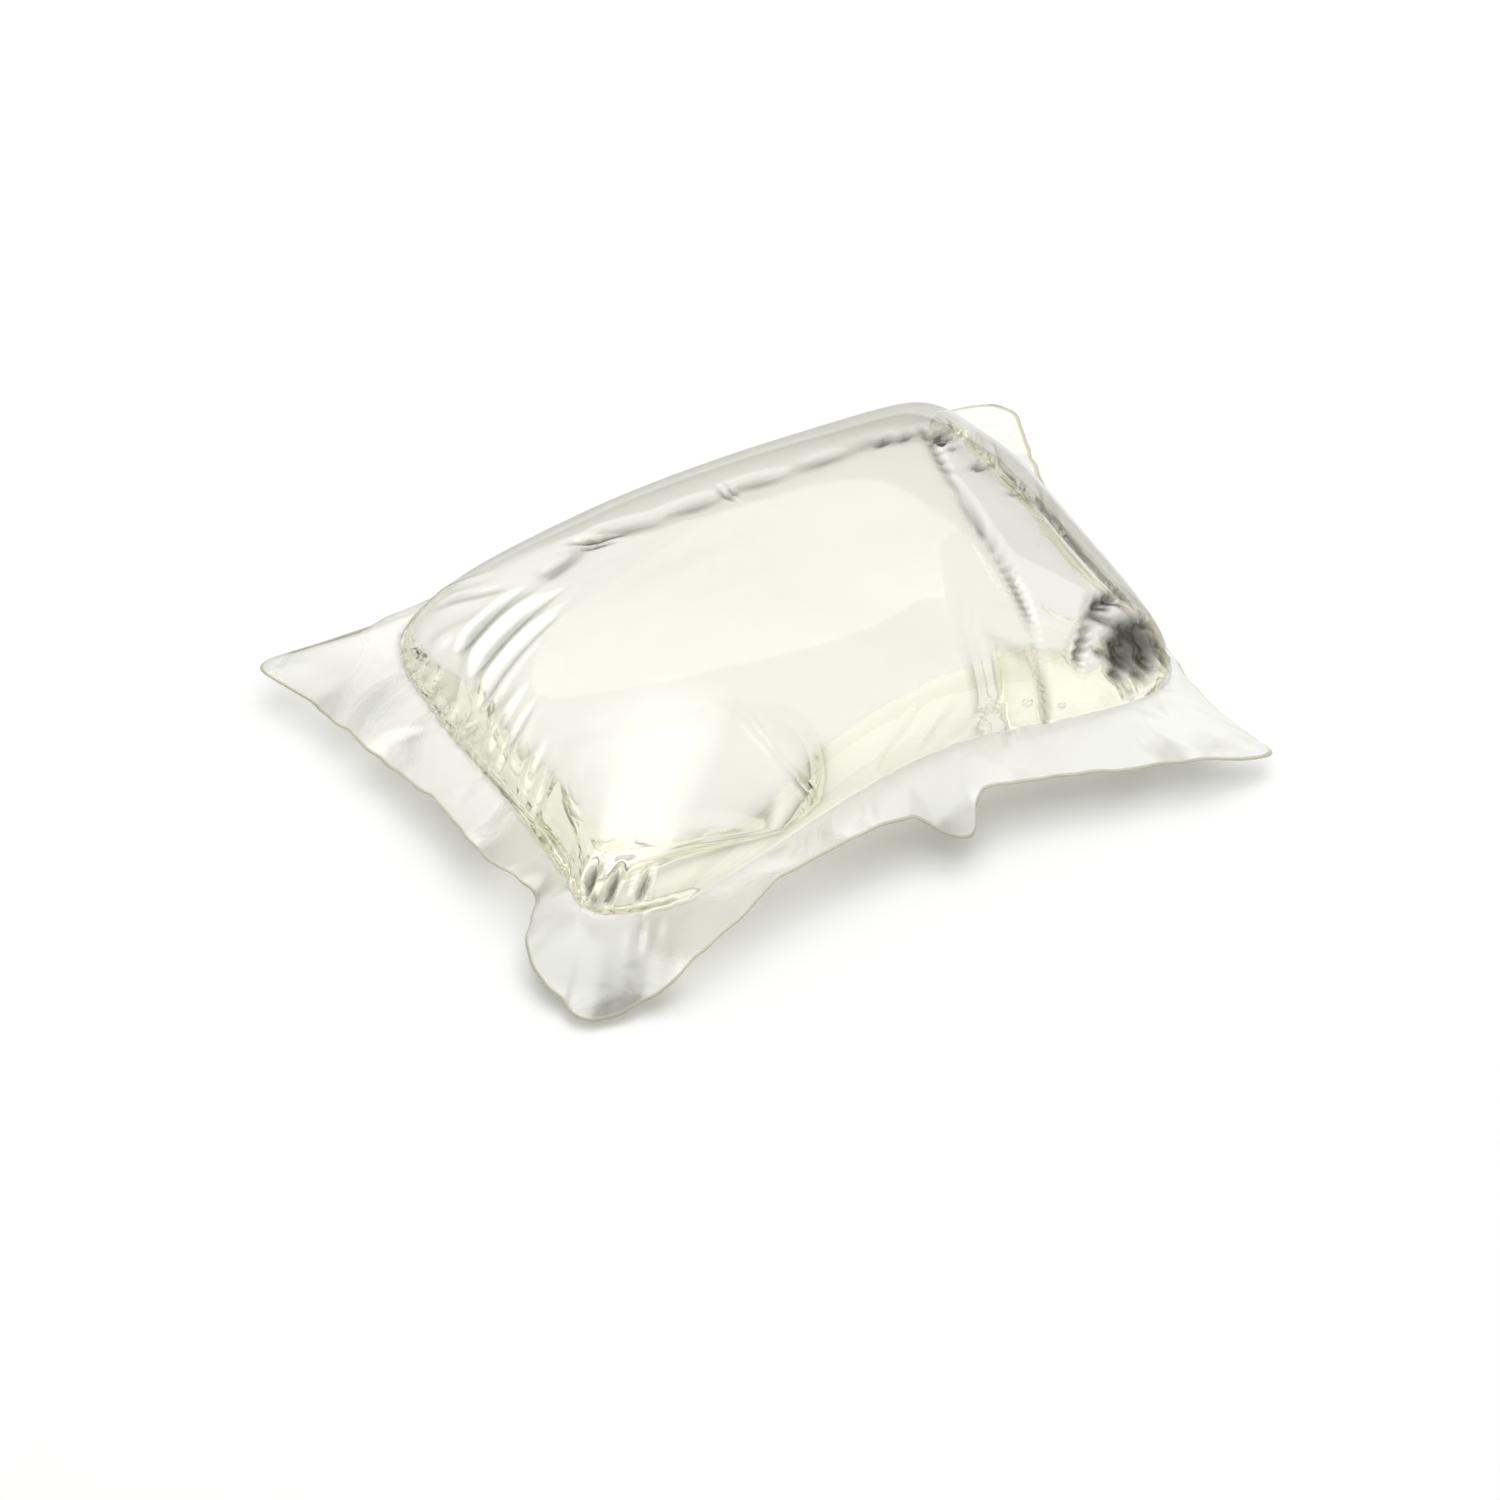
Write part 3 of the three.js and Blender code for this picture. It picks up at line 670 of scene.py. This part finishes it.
TABLE_HALF, TABLE_LOW = 6000.0, 0.03
table_corners = np.array([
    (x * TABLE_HALF, y * TABLE_HALF, -TABLE_LOW) for x, y in ((-1, -1), (1, -1), (1, 1), (-1, 1))])
NEAR, FAR = 0.08, 0.4  # metres from the pod: nearer in the table is lit paper, and further out white
SEEN_THROUGH = 0.76  # share of white that the liquid shows of the table near the pod
table = new_piece("table", table_corners, [(0, 1, 2, 3)])
table_finish, nodes, links = new_material("white_table")
ray = nodes.new("ShaderNodeLightPath")
seen = add_node(nodes, "Math", operation="MAXIMUM")
seen_in_glass = add_node(nodes, "Math", operation="MAXIMUM")
links.new(ray.outputs["Is Camera Ray"], seen.inputs[0])
links.new(ray.outputs["Is Glossy Ray"], seen.inputs[1])
links.new(seen.outputs[0], seen_in_glass.inputs[0])
links.new(ray.outputs["Is Transmission Ray"], seen_in_glass.inputs[1])
spot = nodes.new("ShaderNodeNewGeometry")
away = add_node(nodes, "VectorMath", operation="LENGTH")
links.new(spot.outputs["Position"], away.inputs[0])
far = add_node(nodes, "MapRange", {"From Min": NEAR, "From Max": FAR})
links.new(away.outputs["Value"], far.inputs["Value"])
near_share = add_node(nodes, "Math", {1: SEEN_THROUGH}, operation="MULTIPLY_ADD", use_clamp=True)
links.new(ray.outputs["Is Transmission Ray"], near_share.inputs[0])
links.new(far.outputs[0], near_share.inputs[2])
white_share = add_node(nodes, "Math", operation="MULTIPLY")
links.new(seen_in_glass.outputs[0], white_share.inputs[0])
links.new(near_share.outputs[0], white_share.inputs[1])
paper = add_node(nodes, "BsdfDiffuse", {"Color": (0.92, 0.92, 0.92, 1)})
white = add_node(nodes, "Emission", {"Color": (1, 1, 1, 1), "Strength": 1.0})
mixed = nodes.new("ShaderNodeMixShader")
links.new(white_share.outputs[0], mixed.inputs["Fac"])
links.new(paper.outputs[0], mixed.inputs[1])
links.new(white.outputs[0], mixed.inputs[2])
out = nodes.new("ShaderNodeOutputMaterial")
links.new(mixed.outputs[0], out.inputs["Surface"])
table.data.materials.append(table_finish)

scene = bpy.context.scene
world = bpy.data.worlds.new("studio")
scene.world = world
world.use_nodes = True
nodes, links = world.node_tree.nodes, world.node_tree.links
nodes.clear()
ray = nodes.new("ShaderNodeLightPath")
where = nodes.new("ShaderNodeTexCoord")
parts = nodes.new("ShaderNodeSeparateXYZ")
links.new(where.outputs["Generated"], parts.inputs[0])
WARMTH = 0.97  # blue in a shade of the room, over red and green


def room_shades(stops):
    ramp = nodes.new("ShaderNodeValToRGB")
    ends = ramp.color_ramp.elements
    while len(ends) < len(stops):
        ends.new(0.5)
    for end, (height, shade) in zip(ends, stops):
        end.position = height
        end.color = (shade, shade, shade * WARMTH, 1)
    links.new(parts.outputs["Z"], ramp.inputs["Fac"])
    return ramp.outputs["Color"]


# The room from eye level up, as the film mirrors it and as it is seen through the liquid.
mirrored = room_shades([(0.0, 0.22), (0.5, 0.40), (0.9, 0.52)])
looked_through = room_shades([(0.0, 0.7), (0.08, 0.82), (0.2, 1.0), (0.45, 1.2)])


def rising(direction, low, high, top):
    toward = add_node(nodes, "VectorMath", {1: direction}, operation="DOT_PRODUCT")
    links.new(where.outputs["Generated"], toward.inputs[0])
    step = add_node(nodes, "MapRange", {"From Min": low, "From Max": high, "To Max": top},
                    interpolation_type="SMOOTHSTEP")
    links.new(toward.outputs["Value"], step.inputs["Value"])
    return step.outputs["Result"]


def arithmetic(kind, first, second):
    node = add_node(nodes, "Math", operation=kind)
    links.new(first, node.inputs[0])
    links.new(second, node.inputs[1])
    return node.outputs[0]


# What else the film mirrors: a lit ceiling above the walls, with one clean edge towards the back
# right, and brightest over the pod's front left corner.
CEILING_TOWARD, GLOW_TOWARD, UP = (-0.826, -0.318, 0.462), (-0.565, -0.1, 0.819), (0, 0, 1)
one_side = rising(CEILING_TOWARD, low=-0.225, high=-0.205, top=1.35)
above_walls = rising(UP, low=0.1, high=0.5, top=1.0)
ceiling = arithmetic("MULTIPLY", one_side, above_walls)
glow = rising(GLOW_TOWARD, low=0.74, high=0.94, top=3.2)
lit = arithmetic("MULTIPLY", arithmetic("ADD", ceiling, glow), ray.outputs["Is Glossy Ray"])
brighter = add_node(nodes, "Mix", {"Factor": 1.0}, data_type="RGBA", blend_type="ADD")
links.new(mirrored, brighter.inputs["A"])
links.new(lit, brighter.inputs["B"])
by_ray = add_node(nodes, "Mix", data_type="RGBA")
links.new(ray.outputs["Is Transmission Ray"], by_ray.inputs["Factor"])
links.new(brighter.outputs["Result"], by_ray.inputs["A"])
links.new(looked_through, by_ray.inputs["B"])
room = nodes.new("ShaderNodeBackground")
links.new(by_ray.outputs["Result"], room.inputs["Color"])
backdrop = add_node(nodes, "Background", {"Color": (1, 1, 1, 1)})
choose = nodes.new("ShaderNodeMixShader")
links.new(ray.outputs["Is Camera Ray"], choose.inputs["Fac"])
links.new(room.outputs[0], choose.inputs[1])
links.new(backdrop.outputs[0], choose.inputs[2])
out = nodes.new("ShaderNodeOutputWorld")
links.new(choose.outputs[0], out.inputs["Surface"])

# Both lamps, in metres and watts.
softbox_lamp = bpy.data.lights.new("overhead_softbox", "AREA")
softbox_lamp.shape = "RECTANGLE"
softbox_lamp.size, softbox_lamp.size_y = 0.87, 0.68
softbox_lamp.energy = 2.5
softbox = bpy.data.objects.new("overhead_softbox", softbox_lamp)
softbox.location = (0.08, 0.11, 0.55)
softbox.rotation_euler = (0, 0, math.radians(55))
softbox.visible_glossy = False
scene.collection.objects.link(softbox)
daylight = bpy.data.lights.new("window", "SUN")
daylight.energy = 0.85
daylight.angle = math.radians(50)
window = bpy.data.objects.new("window", daylight)
window.rotation_euler = Vector((-0.45, -0.55, -0.75)).to_track_quat("-Z", "Y").to_euler()
window.visible_glossy = window.visible_transmission = False
scene.collection.objects.link(window)

AZIMUTH, ELEVATION, DISTANCE = math.radians(-28.5), math.radians(45), 0.5
PICTURE = 1500  # pixels across the photograph
SEEN_POINT = Vector((0.00058, -0.00235, 0.004))
SEEN_RIGHT, SEEN_UP = 35, 41  # pixels from the picture's middle to that point
level = math.cos(ELEVATION)
back = Vector((math.sin(AZIMUTH) * level, -math.cos(AZIMUTH) * level, math.sin(ELEVATION)))
right = Vector((math.cos(AZIMUTH), math.sin(AZIMUTH), 0))
up = back.cross(right)
lens = bpy.data.cameras.new("camera")
lens.lens = 150
lens.sensor_width = 36
lens.clip_start = 0.01
camera = bpy.data.objects.new("camera", lens)
scene.collection.objects.link(camera)
pixel = DISTANCE * lens.sensor_width / lens.lens / PICTURE
camera.location = SEEN_POINT - right * SEEN_RIGHT * pixel - up * SEEN_UP * pixel + back * DISTANCE
camera.rotation_mode = "QUATERNION"
camera.rotation_quaternion = (-back).to_track_quat("-Z", "Y")
scene.camera = camera
scene.view_settings.view_transform = "Standard"
scene.cycles.max_bounces = 32
scene.cycles.transmission_bounces = 24
scene.cycles.glossy_bounces = 12
scene.cycles.transparent_max_bounces = 48
